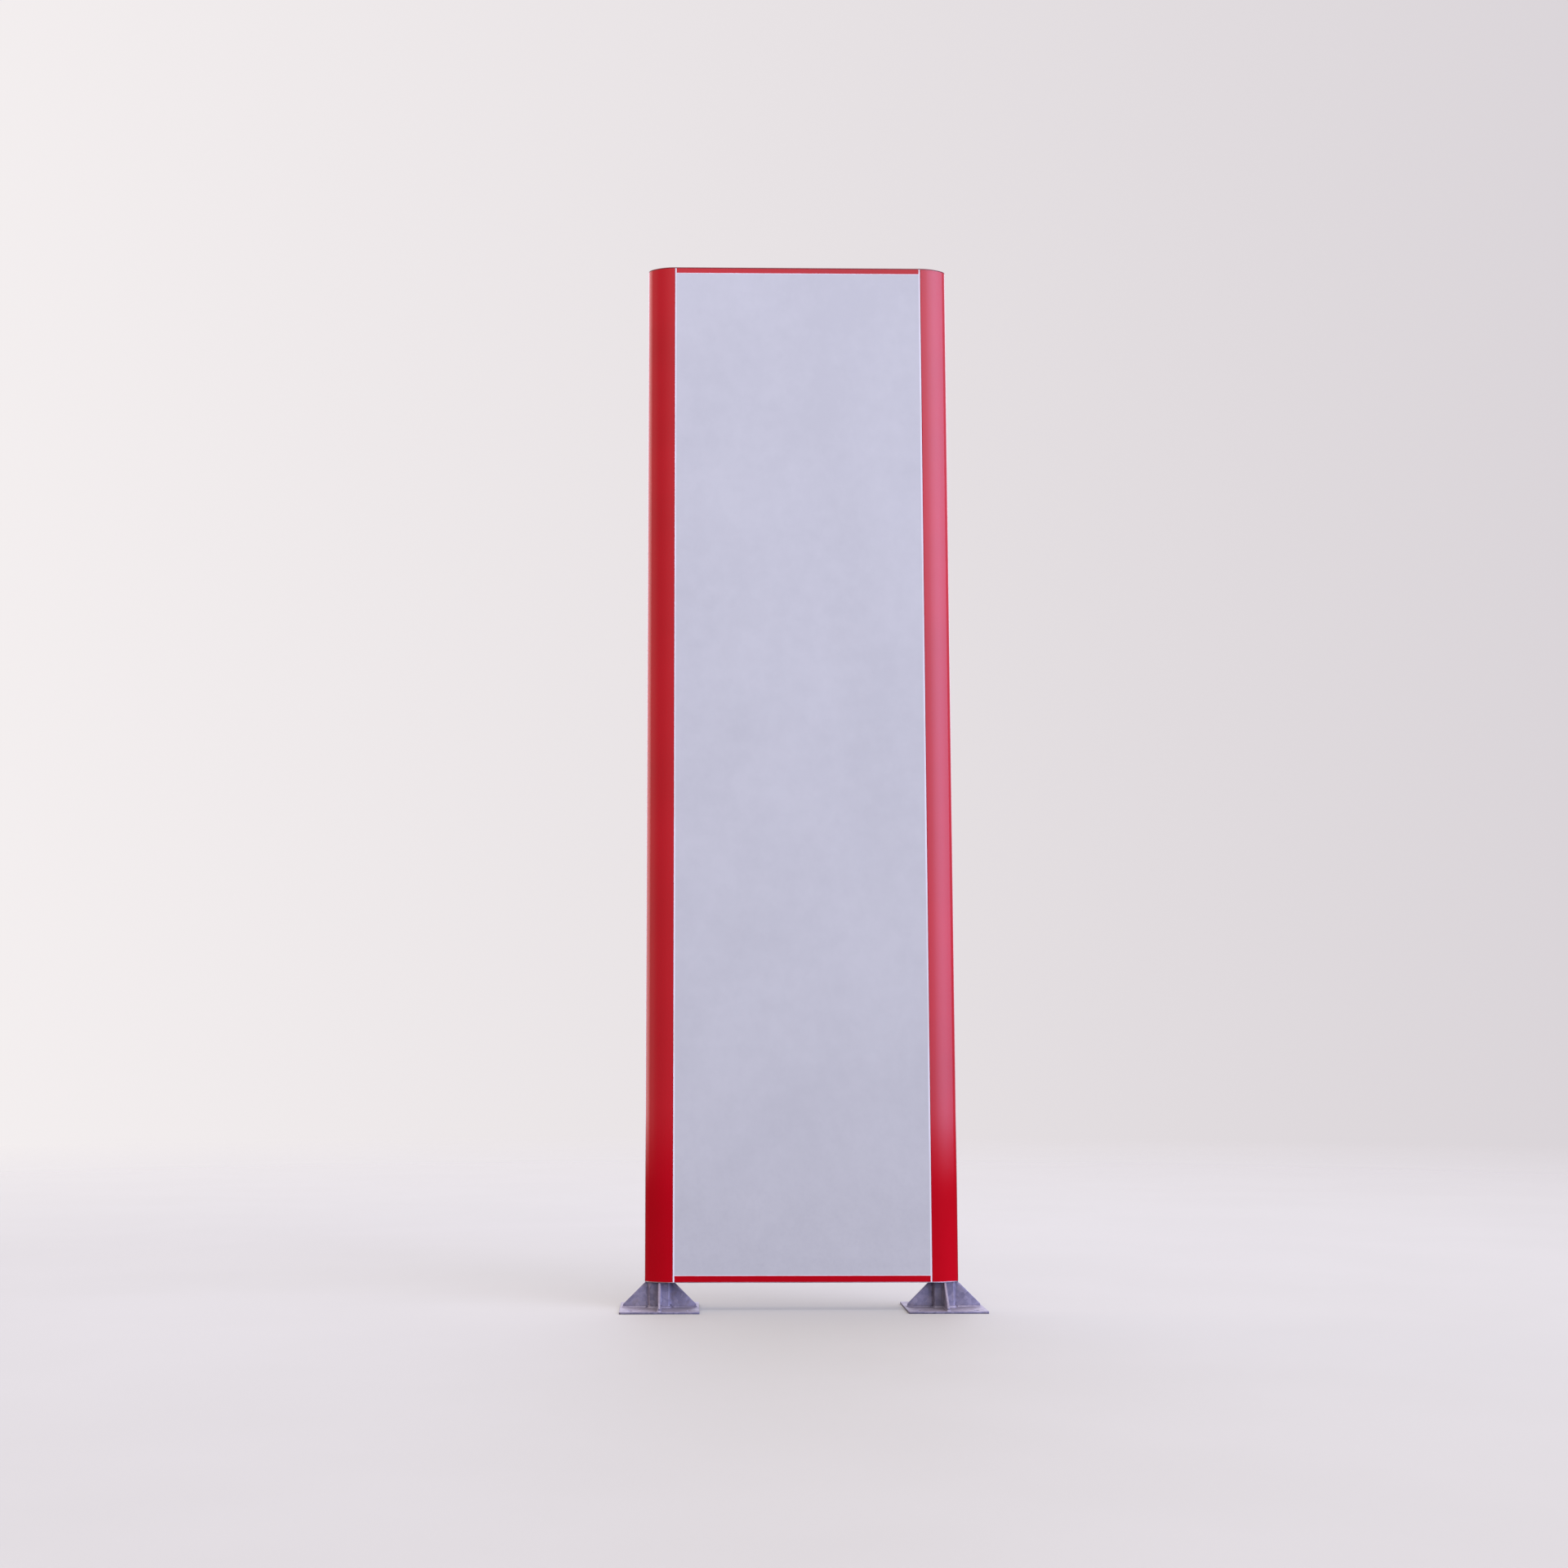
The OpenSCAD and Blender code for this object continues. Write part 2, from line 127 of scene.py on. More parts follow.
def bump(tree, height, distance, strength=1.0, under=None):
    node = addNode(tree, "ShaderNodeBump")
    node.inputs["Strength"].default_value = strength
    node.inputs["Distance"].default_value = distance
    tree.links.new(height, node.inputs["Height"])
    if under is not None:
        tree.links.new(under, node.inputs["Normal"])
    return node.outputs["Normal"]


# How much the surface looks up: 0 on walls and undersides, 1 on flat tops
def facingUp(tree):
    split = addNode(tree, "ShaderNodeSeparateXYZ")
    tree.links.new(addNode(tree, "ShaderNodeNewGeometry").outputs["Normal"], split.inputs[0])
    return mapRange(tree, split.outputs["Z"], 0.3, 0.95, 0, 1)


def heightAbove(tree, low, high):
    split = addNode(tree, "ShaderNodeSeparateXYZ")
    tree.links.new(objectPlace(tree), split.inputs[0])
    return mapRange(tree, split.outputs["Z"], low, high, 0, 1)


def startMaterial(name):
    material = bpy.data.materials.new(name)
    material.use_nodes = True
    tree = material.node_tree
    shader = tree.nodes["Principled BSDF"]
    return material, tree, shader


redPaint = {
    "deep": (0.455, 0.0004, 0.006, 1),
    "bright": (0.520, 0.0007, 0.009, 1),
    "dust": (0.46, 0.36, 0.33, 1),
    "gloss": 0.36,
    "coat": 1.0,
    "coatRoughness": 0.07,
    "specular": 0.01,
    "cloudSize": 2.5,       # sizes are waves per metre
    "peelSize": 300.0,
    "peelDepth": 0.000025,  # metres, as all depths are
    "dustFilm": 0.003,      # how much dust covers the paint at the foot
    "dustReach": (0.07, 0.30),      # heights between which the dust thins out
}


def makeRedPaint():
    material, tree, shader = startMaterial("redPaint")
    cloud = noise(tree, redPaint["cloudSize"], 4)
    dieLines = noise(tree, 9.0, 3, 0.6, stretch=(30, 30, 0.15))
    colour = ramp(tree, cloud, (0.35, redPaint["deep"]), (0.65, redPaint["bright"]))
    # a thin film of settled dust near the floor, broken up by fine noise
    nearFloor = mapRange(tree, heightAbove(tree, *redPaint["dustReach"]), 0, 1, redPaint["dustFilm"], 0)
    specks = mapRange(tree, noise(tree, 160.0, 6, 0.7), 0.5, 0.72, 0.25, 1.6)
    dusty = mathNode(tree, "MULTIPLY", nearFloor, specks)
    feed(tree, shader.inputs["Base Color"], blendColours(tree, dusty, colour, redPaint["dust"]))
    smears = noise(tree, 14.0, 5, 0.6, stretch=(1, 1, 0.4))
    gloss = mapRange(tree, smears, 0.3, 0.7, redPaint["gloss"] - 0.03, redPaint["gloss"] + 0.05)
    dull = mathNode(tree, "MULTIPLY", dusty, 1.5)
    feed(tree, shader.inputs["Roughness"], mathNode(tree, "ADD", gloss, dull))
    shader.inputs["Specular IOR Level"].default_value = redPaint["specular"]
    shader.inputs["Coat Weight"].default_value = redPaint["coat"]
    shader.inputs["Coat Roughness"].default_value = redPaint["coatRoughness"]
    peel = noise(tree, redPaint["peelSize"], 2, 0.4)
    lines = bump(tree, dieLines, redPaint["peelDepth"] * 2)
    feed(tree, shader.inputs["Normal"], bump(tree, peel, redPaint["peelDepth"], under=lines))
    return material


panelFace = {
    "light": (0.558, 0.554, 0.536, 1),
    "shade": (0.522, 0.519, 0.504, 1),
    "grime": (0.36, 0.34, 0.36, 1),
    "roughness": 0.42,
    "cloudSize": 3.2,
    "patchSize": 22.0,
    "grainSize": 900.0,
    "grainDepth": 0.00003,
    "waveDepth": 0.0025,    # the sheet isn't quite flat
    "splash": 0.16,         # how much grime covers the foot of the sheet
    "splashReach": (0.09, 0.75),
}


def makePanelFace():
    material, tree, shader = startMaterial("panelFace")
    clouds = noise(tree, panelFace["cloudSize"], 6, 0.62, stretch=(1, 1, 0.8))
    patches = noise(tree, panelFace["patchSize"], 5, 0.6)
    both = weighted(tree, clouds, 0.65, patches, 0.35)
    colour = ramp(tree, both, (0.40, panelFace["shade"]), (0.60, panelFace["light"]))
    # a faint film of splashed dust that fades out upwards
    splash = mapRange(tree, heightAbove(tree, *panelFace["splashReach"]), 0, 1, panelFace["splash"], 0.0)
    spots = mapRange(tree, noise(tree, 70.0, 7, 0.7), 0.45, 0.75, 0.5, 1.4)
    dirty = mathNode(tree, "MULTIPLY", splash, spots)
    feed(tree, shader.inputs["Base Color"], blendColours(tree, dirty, colour, panelFace["grime"]))
    wipes = noise(tree, 8.0, 6, 0.65, stretch=(0.5, 1, 2.2))
    sheen = mapRange(tree, wipes, 0.3, 0.7, panelFace["roughness"] - 0.04, panelFace["roughness"] + 0.06)
    feed(tree, shader.inputs["Roughness"], sheen)
    # the film's fine grain over the sheet's own slow waviness
    waves = bump(tree, noise(tree, 3.5, 2, 0.4), panelFace["waveDepth"])
    grain = bump(tree, noise(tree, panelFace["grainSize"], 2, 0.5), panelFace["grainDepth"], under=waves)
    feed(tree, shader.inputs["Normal"], grain)
    return material


whiteTrim = {
    "clean": (0.80, 0.76, 0.78, 1),
    "yellowed": (0.70, 0.65, 0.63, 1),
    "roughness": 0.34,
}


def makeWhiteTrim():
    material, tree, shader = startMaterial("whiteTrim")
    along = noise(tree, 6.0, 5, 0.6, stretch=(4, 4, 0.6))
    feed(tree, shader.inputs["Base Color"],
        ramp(tree, along, (0.35, whiteTrim["yellowed"]), (0.55, whiteTrim["clean"])))
    feed(tree, shader.inputs["Roughness"],
        mapRange(tree, along, 0.3, 0.7, whiteTrim["roughness"] + 0.08, whiteTrim["roughness"]))
    feed(tree, shader.inputs["Normal"], bump(tree, noise(tree, 220.0, 3), 0.00002))
    return material


darkCover = {
    "coat": (0.150, 0.009, 0.014, 1),
    "worn": (0.190, 0.022, 0.026, 1),
    "dust": (0.33, 0.29, 0.28, 1),
    "roughness": 0.48,
}


def makeDarkCover():
    material, tree, shader = startMaterial("darkCover")
    colour = ramp(tree, noise(tree, 30.0, 5, 0.6), (0.4, darkCover["coat"]), (0.7, darkCover["worn"]))
    drifts = mapRange(tree, noise(tree, 7.0, 7, 0.65), 0.42, 0.7, 0.08, 0.55)
    dusty = mathNode(tree, "MULTIPLY", facingUp(tree), drifts)
    feed(tree, shader.inputs["Base Color"], blendColours(tree, dusty, colour, darkCover["dust"]))
    dull = mathNode(tree, "MULTIPLY", dusty, 0.4)
    feed(tree, shader.inputs["Roughness"], mathNode(tree, "ADD", dull, darkCover["roughness"]))
    feed(tree, shader.inputs["Normal"], bump(tree, noise(tree, 700.0, 2), 0.00006))
    return material


bareAluminium = {
    "bright": (0.80, 0.80, 0.82, 1),
    "dull": (0.62, 0.62, 0.64, 1),
    "roughness": 0.34,
}


def makeBareAluminium():
    material, tree, shader = startMaterial("bareAluminium")
    rolled = noise(tree, 6.0, 5, 0.7, stretch=(0.6, 60, 60))
    stains = noise(tree, 11.0, 5, 0.6)
    feed(tree, shader.inputs["Base Color"],
        ramp(tree, stains, (0.35, bareAluminium["dull"]), (0.6, bareAluminium["bright"])))
    shader.inputs["Metallic"].default_value = 1.0
    dull = bareAluminium["roughness"] + 0.1
    sheen = mapRange(tree, rolled, 0.3, 0.7, bareAluminium["roughness"] - 0.08, dull)
    feed(tree, shader.inputs["Roughness"], sheen)
    feed(tree, shader.inputs["Normal"], bump(tree, rolled, 0.00006))
    return material


galvanised = {
    "darkCrystal": (0.195, 0.179, 0.255, 1),
    "midCrystal": (0.250, 0.231, 0.315, 1),
    "lightCrystal": (0.310, 0.285, 0.370, 1),
    # white rust in patches, and on upward faces also painted warm light from above
    "whiteRustAndTopLight": (0.255, 0.213, 0.222, 1),
    "crystalSize": 95.0,    # spangle crystals per metre
    "crystalWobble": 0.006,     # how far their edges stray
    "crystalShare": 0.35,   # of the colour's pattern, the rest being soft patches
    "metallic": 0.55,
    "roughness": 0.46,
}


def makeGalvanised():
    material, tree, shader = startMaterial("galvanisedSteel")
    wobble = noise(tree, 60.0, 3, 0.6)
    warped = addNode(tree, "ShaderNodeVectorMath", operation="ADD")
    tree.links.new(objectPlace(tree), warped.inputs[0])
    shake = addNode(tree, "ShaderNodeVectorMath", operation="SCALE")
    shake.inputs["Scale"].default_value = galvanised["crystalWobble"]
    tree.links.new(wobble, shake.inputs[0])
    tree.links.new(shake.outputs[0], warped.inputs[1])
    crystals = addNode(tree, "ShaderNodeTexVoronoi")
    crystals.inputs["Scale"].default_value = galvanised["crystalSize"]
    tree.links.new(warped.outputs[0], crystals.inputs["Vector"])
    split = addNode(tree, "ShaderNodeSeparateColor")
    tree.links.new(crystals.outputs["Color"], split.inputs[0])
    shade = split.outputs[0]
    patches = noise(tree, 26.0, 6, 0.65)
    mixed = weighted(tree, shade, galvanised["crystalShare"], patches, 1 - galvanised["crystalShare"])
    colour = ramp(tree, mixed, (0.30, galvanised["darkCrystal"]), (0.50, galvanised["midCrystal"]),
        (0.72, galvanised["lightCrystal"]))
    # white rust in scattered patches, and on upward faces the same colour, there partly white rust and partly
    # painted light from above
    bloom = mapRange(tree, noise(tree, 38.0, 7, 0.7, move=(3, 1, 2)), 0.52, 0.72, 0.0, 0.75)
    # painted top light, partly white rust: upward faces blend towards the warm white rust colour
    topRustAndLight = mathNode(tree, "MULTIPLY", facingUp(tree), 0.55)
    rustAndTopLight = mathNode(tree, "MAXIMUM", bloom, topRustAndLight)
    feed(tree, shader.inputs["Base Color"], blendColours(tree, rustAndTopLight, colour, galvanised["whiteRustAndTopLight"]))
    shader.inputs["Metallic"].default_value = galvanised["metallic"]
    dull = mathNode(tree, "MULTIPLY", rustAndTopLight, 0.25)
    matt = galvanised["roughness"]
    crystalGloss = mapRange(tree, split.outputs[1], 0, 1, matt - 0.08, matt + 0.08)
    feed(tree, shader.inputs["Roughness"], mathNode(tree, "ADD", crystalGloss, dull))
    runs = bump(tree, noise(tree, 45.0, 4, 0.55, stretch=(1, 1, 0.5)), 0.0006)
    facets = bump(tree, shade, 0.00008, under=runs)
    feed(tree, shader.inputs["Normal"], bump(tree, noise(tree, 600.0, 2), 0.00005, under=facets))
    return material


zincPlate = {
    "silver": (0.62, 0.62, 0.66, 1),
    "blue": (0.50, 0.54, 0.64, 1),
    "roughness": 0.30,
}


def makeZincPlate():
    material, tree, shader = startMaterial("zincPlate")
    tints = noise(tree, 55.0, 4, 0.6)
    colour = ramp(tree, tints, (0.35, zincPlate["blue"]), (0.65, zincPlate["silver"]))
    feed(tree, shader.inputs["Base Color"], colour)
    shader.inputs["Metallic"].default_value = 1.0
    feed(tree, shader.inputs["Roughness"],
        mapRange(tree, tints, 0.3, 0.7, zincPlate["roughness"] - 0.06, zincPlate["roughness"] + 0.12))
    feed(tree, shader.inputs["Normal"], bump(tree, noise(tree, 500.0, 3), 0.00003))
    return material


blackPlastic = {
    "moulded": (0.020, 0.020, 0.022, 1),
    "scuffed": (0.045, 0.045, 0.048, 1),
    "roughness": 0.52,
}


def makeBlackPlastic():
    material, tree, shader = startMaterial("blackPlastic")
    scuffs = noise(tree, 90.0, 5, 0.7)
    feed(tree, shader.inputs["Base Color"],
        ramp(tree, scuffs, (0.5, blackPlastic["moulded"]), (0.75, blackPlastic["scuffed"])))
    feed(tree, shader.inputs["Roughness"],
        mapRange(tree, scuffs, 0.3, 0.7, blackPlastic["roughness"], blackPlastic["roughness"] + 0.15))
    feed(tree, shader.inputs["Normal"], bump(tree, noise(tree, 1200.0, 2), 0.00008))
    return material


foamTape = {
    "foam": (0.11, 0.11, 0.12, 1),
    # the pores' colour is painted shade: darker where the foam's pits lie deepest
    "cells": (0.05, 0.05, 0.055, 1),
    "cellSize": 1400.0,     # foam cells per metre
}


def makeFoamTape():
    material, tree, shader = startMaterial("foamTape")
    cells = addNode(tree, "ShaderNodeTexVoronoi")
    cells.inputs["Scale"].default_value = foamTape["cellSize"]
    tree.links.new(objectPlace(tree), cells.inputs["Vector"])
    depth = cells.outputs["Distance"]
    # painted shade: the colour darkens into the pits, following the same depth the bump uses
    colour = ramp(tree, depth, (0.1, foamTape["cells"]), (0.5, foamTape["foam"]))
    feed(tree, shader.inputs["Base Color"], colour)
    feed(tree, shader.inputs["Roughness"], mapRange(tree, depth, 0, 0.6, 0.95, 0.85))
    feed(tree, shader.inputs["Normal"], bump(tree, depth, 0.0002))
    return material


finishes = {
    "red_paint": makeRedPaint(),
    "panel_face": makePanelFace(),
    "white_trim": makeWhiteTrim(),
    "dark_cover": makeDarkCover(),
    "bare_aluminium": makeBareAluminium(),
    "galvanised_steel": makeGalvanised(),
    "zinc_plate": makeZincPlate(),
    "black_plastic": makeBlackPlastic(),
    "foam_tape": makeFoamTape(),
}
print("finishes made:", ", ".join(finishes))


# Every CAD node comes in with its record slot's name on its material, and takes that slot's finish
def dressNodes():
    for node in nodes.values():
        for place in node.material_slots:
            place.material = finishes[place.material.name]


dressNodes()
print("CAD nodes dressed")


# Quads between neighbouring rows of a grid of points, wrapping round the columns if closed
def gridFaces(rows, columns, closed):
    across = np.arange(columns if closed else columns - 1)[None, :]
    down = np.arange(rows - 1)[:, None] * columns
    after = (across + 1) % columns
    quads = np.stack([down + across, down + after, down + columns + after, down + columns + across], axis=-1)
    return quads.reshape(-1, 4)


def meshObject(name, points, polygons, sharpAngle=40):
    mesh = bpy.data.meshes.new(name)
    mesh.from_pydata(points.tolist(), [], polygons)
    mesh.polygons.foreach_set("use_smooth", np.ones(len(mesh.polygons), dtype=bool))
    mesh.set_sharp_from_angle(angle=np.radians(sharpAngle))
    mesh.update()
    holder = bpy.data.objects.new(name, mesh)
    bpy.context.scene.collection.objects.link(holder)
    return holder


# A piece of the object: it rides on the wall, takes a slot's finish and may stand for a CAD node
def fitPiece(piece, slot, *standsFor):
    piece.data.materials.append(finishes[slot])
    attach(piece, "root")
    if standsFor:
        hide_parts(*standsFor)


# Several grids in one mesh: each part is (points, polygons), and its polygons are moved up past
# the points before it
def joinParts(parts):
    counts = np.cumsum([0] + [len(points) for points, polygons in parts])
    points = np.concatenate([points for points, polygons in parts])
    polygons = [[int(i + first) for i in polygon]
        for first, part in zip(counts, parts) for polygon in part[1]]
    return points, polygons


# Outward normals of an outline's edges that end at each corner, and of those that leave it
def edgeNormals(corners):
    along = corners - np.roll(corners, 1, axis=0)
    normals = np.stack([along[:, 1], -along[:, 0]], axis=-1)
    normals /= np.linalg.norm(normals, axis=1, keepdims=True)
    return normals, np.roll(normals, -1, axis=0)


# Corner i of an outline that turns left becomes an arc of the radius: its centre lies inside by
# radius * (n0 + n1) / (1 + n0.n1), where n0 and n1 are the outward normals of the edges that meet
# there, and the arc runs from the direction of n0 to that of n1
def roundCorners(corners, radius, steps=5):
    normals, following = edgeNormals(corners)
    centres = corners - radius * (normals + following) / (1 + (normals * following).sum(axis=1))[:, None]
    first = np.arctan2(normals[:, 1], normals[:, 0])
    turn = (np.arctan2(following[:, 1], following[:, 0]) - first) % (2 * np.pi)
    angles = first[:, None] + turn[:, None] * np.linspace(0, 1, steps)[None, :]
    ways = np.stack([np.cos(angles), np.sin(angles)], axis=-1)
    points = centres[:, None, :] + radius * ways
    return points.reshape(-1, 2), ways.reshape(-1, 2)


# A hole runs clockwise, and its ways point at its centre, because they point out of the metal
def holeLoop(centre, radius, steps=40):
    angles = -np.linspace(0, 2 * np.pi, steps, endpoint=False)
    ways = -np.stack([np.cos(angles), np.sin(angles)], axis=-1)
    return np.asarray(centre) - radius * ways, ways


# Section of a softened rim from the underside to the top: quarter rounds of radius edge, as
# (how far it lies in from the outline, height)
def softRim(thickness, edge, steps=4):
    turn = np.linspace(0, np.pi / 2, steps)
    inset = edge * (1 - np.sin(turn))
    height = edge * (1 - np.cos(turn))
    return np.concatenate([inset, inset[::-1]]), np.concatenate([height, (thickness - height)[::-1]])


# Flat triangles between an outline and its holes, all turned the same way, without slivers
def capTriangles(loops, upwards):
    sliver = 1e-12          # twice the area in square metres, as area is here
    flat = np.concatenate(loops)
    triangles = np.array(tessellate_polygon([[Vector((x, y, 0)) for x, y in loop] for loop in loops]))
    a, b, c = flat[triangles[:, 0]], flat[triangles[:, 1]], flat[triangles[:, 2]]
    area = (b[:, 0] - a[:, 0]) * (c[:, 1] - a[:, 1]) - (b[:, 1] - a[:, 1]) * (c[:, 0] - a[:, 0])
    wrong = (area > 0) != upwards
    triangles[wrong] = triangles[wrong][:, ::-1]
    return triangles[np.abs(area) > sliver]


# Each loop is (points, ways, section): its rim is the grid points - ways * inset at the section's
# heights. Flat caps close it between the loops' first rings and between their last rings.
def plateParts(loops, place):
    rims, starts, count = [], [], 0
    for points, ways, (inset, height) in loops:
        rings = points[None] - ways[None] * inset[:, None, None]
        levels = np.broadcast_to(height[:, None, None], rings.shape[:2] + (1,))
        grid = np.concatenate([rings, levels], axis=-1).reshape(-1, 3)
        rims.append((grid, gridFaces(len(inset), len(points), True)))
        starts.append((count, len(points), len(inset)))
        count += len(grid)
    points, polygons = joinParts(rims)
    for upwards in (False, True):
        index = np.concatenate([np.arange(n) + first + (rows - 1) * n * upwards for first, n, rows in starts])
        ends = np.cumsum([n for _, n, _ in starts])[:-1]
        rings = np.split(points[index][:, :2], ends)
        polygons += index[capTriangles(rings, upwards)].tolist()
    return place(points), polygons


# Local (u, v, height) becomes origin + u * across + v * up + height * through
def placer(origin, across, up, through):
    axes = np.array([across, up, through], dtype=float)
    return lambda points: np.asarray(origin) + points @ axes


# The outline of a flat CAD node without hollows: of its points, seen along the flat direction, those
# that reach furthest in any of the directions, in turn
def outlineOf(name, columns, directions=720, shortest=1e-5):
    mesh = nodes[name].data
    points = np.empty(len(mesh.vertices) * 3)
    mesh.vertices.foreach_get("co", points)
    flat = points.reshape(-1, 3)[:, columns]
    turn = np.linspace(0, 2 * np.pi, directions, endpoint=False)
    furthest = np.argmax(flat @ np.stack([np.cos(turn), np.sin(turn)]), axis=0)
    order = np.unique(furthest, return_index=True)[1]
    corners = flat[furthest[np.sort(order)]]
    gaps = np.linalg.norm(corners - np.roll(corners, 1, axis=0), axis=1)
    return corners[gaps > shortest]


foot = {
    "plateCorner": 0.004,   # radius of the plate's corners in plan
    "gussetCorner": 0.0012,
    "edge": 0.0007,         # softening of the sheared edges by the zinc
    "ventRadius": 0.010,
    "gussetWeld": 0.0034,   # leg of the fillets beside the gussets
    "postWeld": 0.0045,     # leg of the fillet round the post
    "ripple": 0.035,        # how much of the leg the beads' ripples take
    "ripplePitch": 0.0030,
    "chevron": 1.8,         # how far the ripples' middles run ahead, in radians
    "weldSunk": 0.0004,     # how deep the beads' backs lie in the metal
    "weldStop": 0.001,      # the beads up the post end this far below the gussets' tops
    "toeCorner": 0.0004,
    "snip": 0.006,          # clipped inner corner of the gussets
    "postCorner": 0.006,
}
gussetWays = {"outer": (1, 0), "inner": (-1, 0), "front": (0, -1), "rear": (0, 1)}


def makeBasePlate(side):
    name = side + "_base_plate"
    low, high = (np.array(corner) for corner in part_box(name))
    middle = (low + high)[:2] / 2
    rim = softRim(high[2] - low[2], foot["edge"])
    corners = np.array([(low[0], low[1]), (high[0], low[1]), (high[0], high[1]), (low[0], high[1])])
    pattern = next(m for m in frame["record"]["mounts"] if m["name"] == side + "_anchor_holes")["dims"]
    apart = np.array([pattern["spacing_x_mm"], pattern["spacing_y_mm"]]) / 2000
    holes = [holeLoop(middle + apart * (x, y), pattern["hole_r_mm"] / 1000) for x in (-1, 1) for y in (-1, 1)]
    holes.append(holeLoop(middle, foot["ventRadius"]))
    loops = [(*roundCorners(corners, foot["plateCorner"]), rim)] + [(*hole, rim) for hole in holes]
    points, polygons = plateParts(loops, placer((0, 0, low[2]), (1, 0, 0), (0, 1, 0), (0, 0, 1)))
    fitPiece(meshObject(side + "_plate_softened", points, polygons), "galvanised_steel", name)


def makeGusset(side, spot):
    name = side + "_" + spot + "_gusset"
    low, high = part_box(name)
    if spot in ("front", "rear"):
        outline = outlineOf(name, (1, 2))
        place = placer((low.x, 0, 0), (0, 1, 0), (0, 0, 1), (1, 0, 0))
        thickness = high.x - low.x
    else:
        outline = outlineOf(name, (0, 2))
        place = placer((0, high.y, 0), (1, 0, 0), (0, 0, 1), (0, -1, 0))
        thickness = high.y - low.y
    loop = (*roundCorners(outline, foot["gussetCorner"]), softRim(thickness, foot["edge"]))
    points, polygons = plateParts([loop], place)
    fitPiece(meshObject(side + "_" + spot + "_rib_softened", points, polygons), "galvanised_steel", name)


# Points and their ways at even steps along a path, where a turn counts as length too
def evenSteps(points, ways, step):
    lengths = np.linalg.norm(np.diff(points, axis=0), axis=1) + 1e-9
    turned = np.linalg.norm(np.diff(ways, axis=0), axis=1) * step
    along = np.concatenate([[0], np.cumsum(lengths + turned)])
    at = np.linspace(0, along[-1], max(8, int(along[-1] / step)))
    spread = [np.interp(at, along, column) for column in np.concatenate([points, ways], axis=1).T]
    both = np.stack(spread, axis=1)
    return both[:, :3], both[:, 3:], at


# A fillet weld: at each step of the path, with a along one face and b along the other, its surface is
# path + leg * (cos(t)^1.5 * a + sin(t)^1.5 * b) for t over a quarter turn. The leg swells and sinks by
# the ripple in chevrons along the path, and shrinks at free ends.
def weldBead(path, ways, up, leg, closed):
    points, a, along = evenSteps(path, ways, foot["ripplePitch"] / 4)
    t = np.linspace(0, np.pi / 2, 8)[None, :]
    waves = max(1, round(along[-1] / foot["ripplePitch"]))
    phase = 2 * np.pi * waves * along[:, None] / along[-1] + foot["chevron"] * np.cos(2 * t - np.pi / 2)
    size = leg * (1 + foot["ripple"] * np.cos(phase))
    if not closed:
        fromEnd = np.minimum(along, along[-1] - along)[:, None] / leg
        size = size * np.sqrt(np.clip(1 - (1 - np.clip(fromEnd, 0, 1)) ** 2, 0.04, 1))
    back = np.full((len(points), 1), -foot["weldSunk"])
    u = np.concatenate([size * np.cos(t) ** 1.5, back], axis=1)
    v = np.concatenate([size * np.sin(t) ** 1.5, back], axis=1)
    b = np.broadcast_to(np.asarray(up, dtype=float), a.shape)
    surface = points[:, None] + u[..., None] * a[:, None] + v[..., None] * b[:, None]
    if np.dot(np.cross(a[0], b[0]), points[1] - points[0]) < 0:
        surface = surface[:, ::-1]
    rows, columns = surface.shape[:2]
    if closed:
        surface = surface[:-1]
        quads = gridFaces(rows, columns, True) % ((rows - 1) * columns)
        return surface.reshape(-1, 3), quads.tolist()
    polygons = gridFaces(rows, columns, True).tolist()
    polygons.append(list(range(columns))[::-1])
    polygons.append(list(range((rows - 1) * columns, rows * columns)))
    return surface.reshape(-1, 3), polygons


# Flat points lifted to a height
def level(flat, height):
    return np.concatenate([flat, np.full((len(flat), 1), height)], axis=1)


def makeFootWelds(side):
    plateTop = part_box(side + "_base_plate")[1].z
    postLow, postHigh = (np.array(corner)[:2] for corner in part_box(side + "_post"))
    corners = np.array([postLow, (postHigh[0], postLow[1]), postHigh, (postLow[0], postHigh[1])])
    ring, outwards = roundCorners(corners, foot["postCorner"], 9)
    ring, outwards = np.vstack([ring, ring[:1]]), np.vstack([outwards, outwards[:1]])
    parts = [weldBead(level(ring, plateTop), level(outwards, 0), (0, 0, 1), foot["postWeld"], True)]
    for spot, (x, y) in gussetWays.items():
        low, high = (np.array(corner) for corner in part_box(side + "_" + spot + "_gusset"))
        away = np.array([x * (1 if side == "right" else -1), y], dtype=float)
        aside = np.array([-away[1], away[0]])
        middle, half = (low + high)[:2] / 2, (high - low)[:2] / 2
        reach, thin = np.abs(half @ away), np.abs(half @ aside)
        # round the toe: a rectangle on the plate, open at the post
        start = foot["snip"] - reach
        block = np.array([(start, -thin), (reach, -thin), (reach, thin), (start, thin)])
        line, out = roundCorners(block, foot["toeCorner"])
        steps = len(line) // 4
        line, out = line[steps - 1:3 * steps + 1], out[steps - 1:3 * steps + 1]
        turned = np.stack([away, aside])
        parts.append(weldBead(level(middle + line @ turned, plateTop), level(out @ turned, 0), (0, 0, 1),
            foot["gussetWeld"], False))
        # up the post on both sides
        climb = np.linspace(plateTop + foot["snip"], high[2] - foot["weldStop"], 12)[:, None]
        for hand in (-1, 1):
            corner = middle - away * reach + aside * thin * hand
            upright = np.concatenate([np.broadcast_to(corner, (len(climb), 2)), climb], axis=1)
            across = np.broadcast_to(np.append(aside * hand, 0), (len(climb), 3))
            parts.append(weldBead(upright, across, np.append(away, 0), foot["gussetWeld"], False))
    fitPiece(meshObject(side + "_foot_welds", *joinParts(parts), sharpAngle=50), "galvanised_steel")


for side in sides:
    makeBasePlate(side)
    for spot in gussetWays:
        makeGusset(side, spot)
    makeFootWelds(side)
print("feet built: plates, ribs and welds")


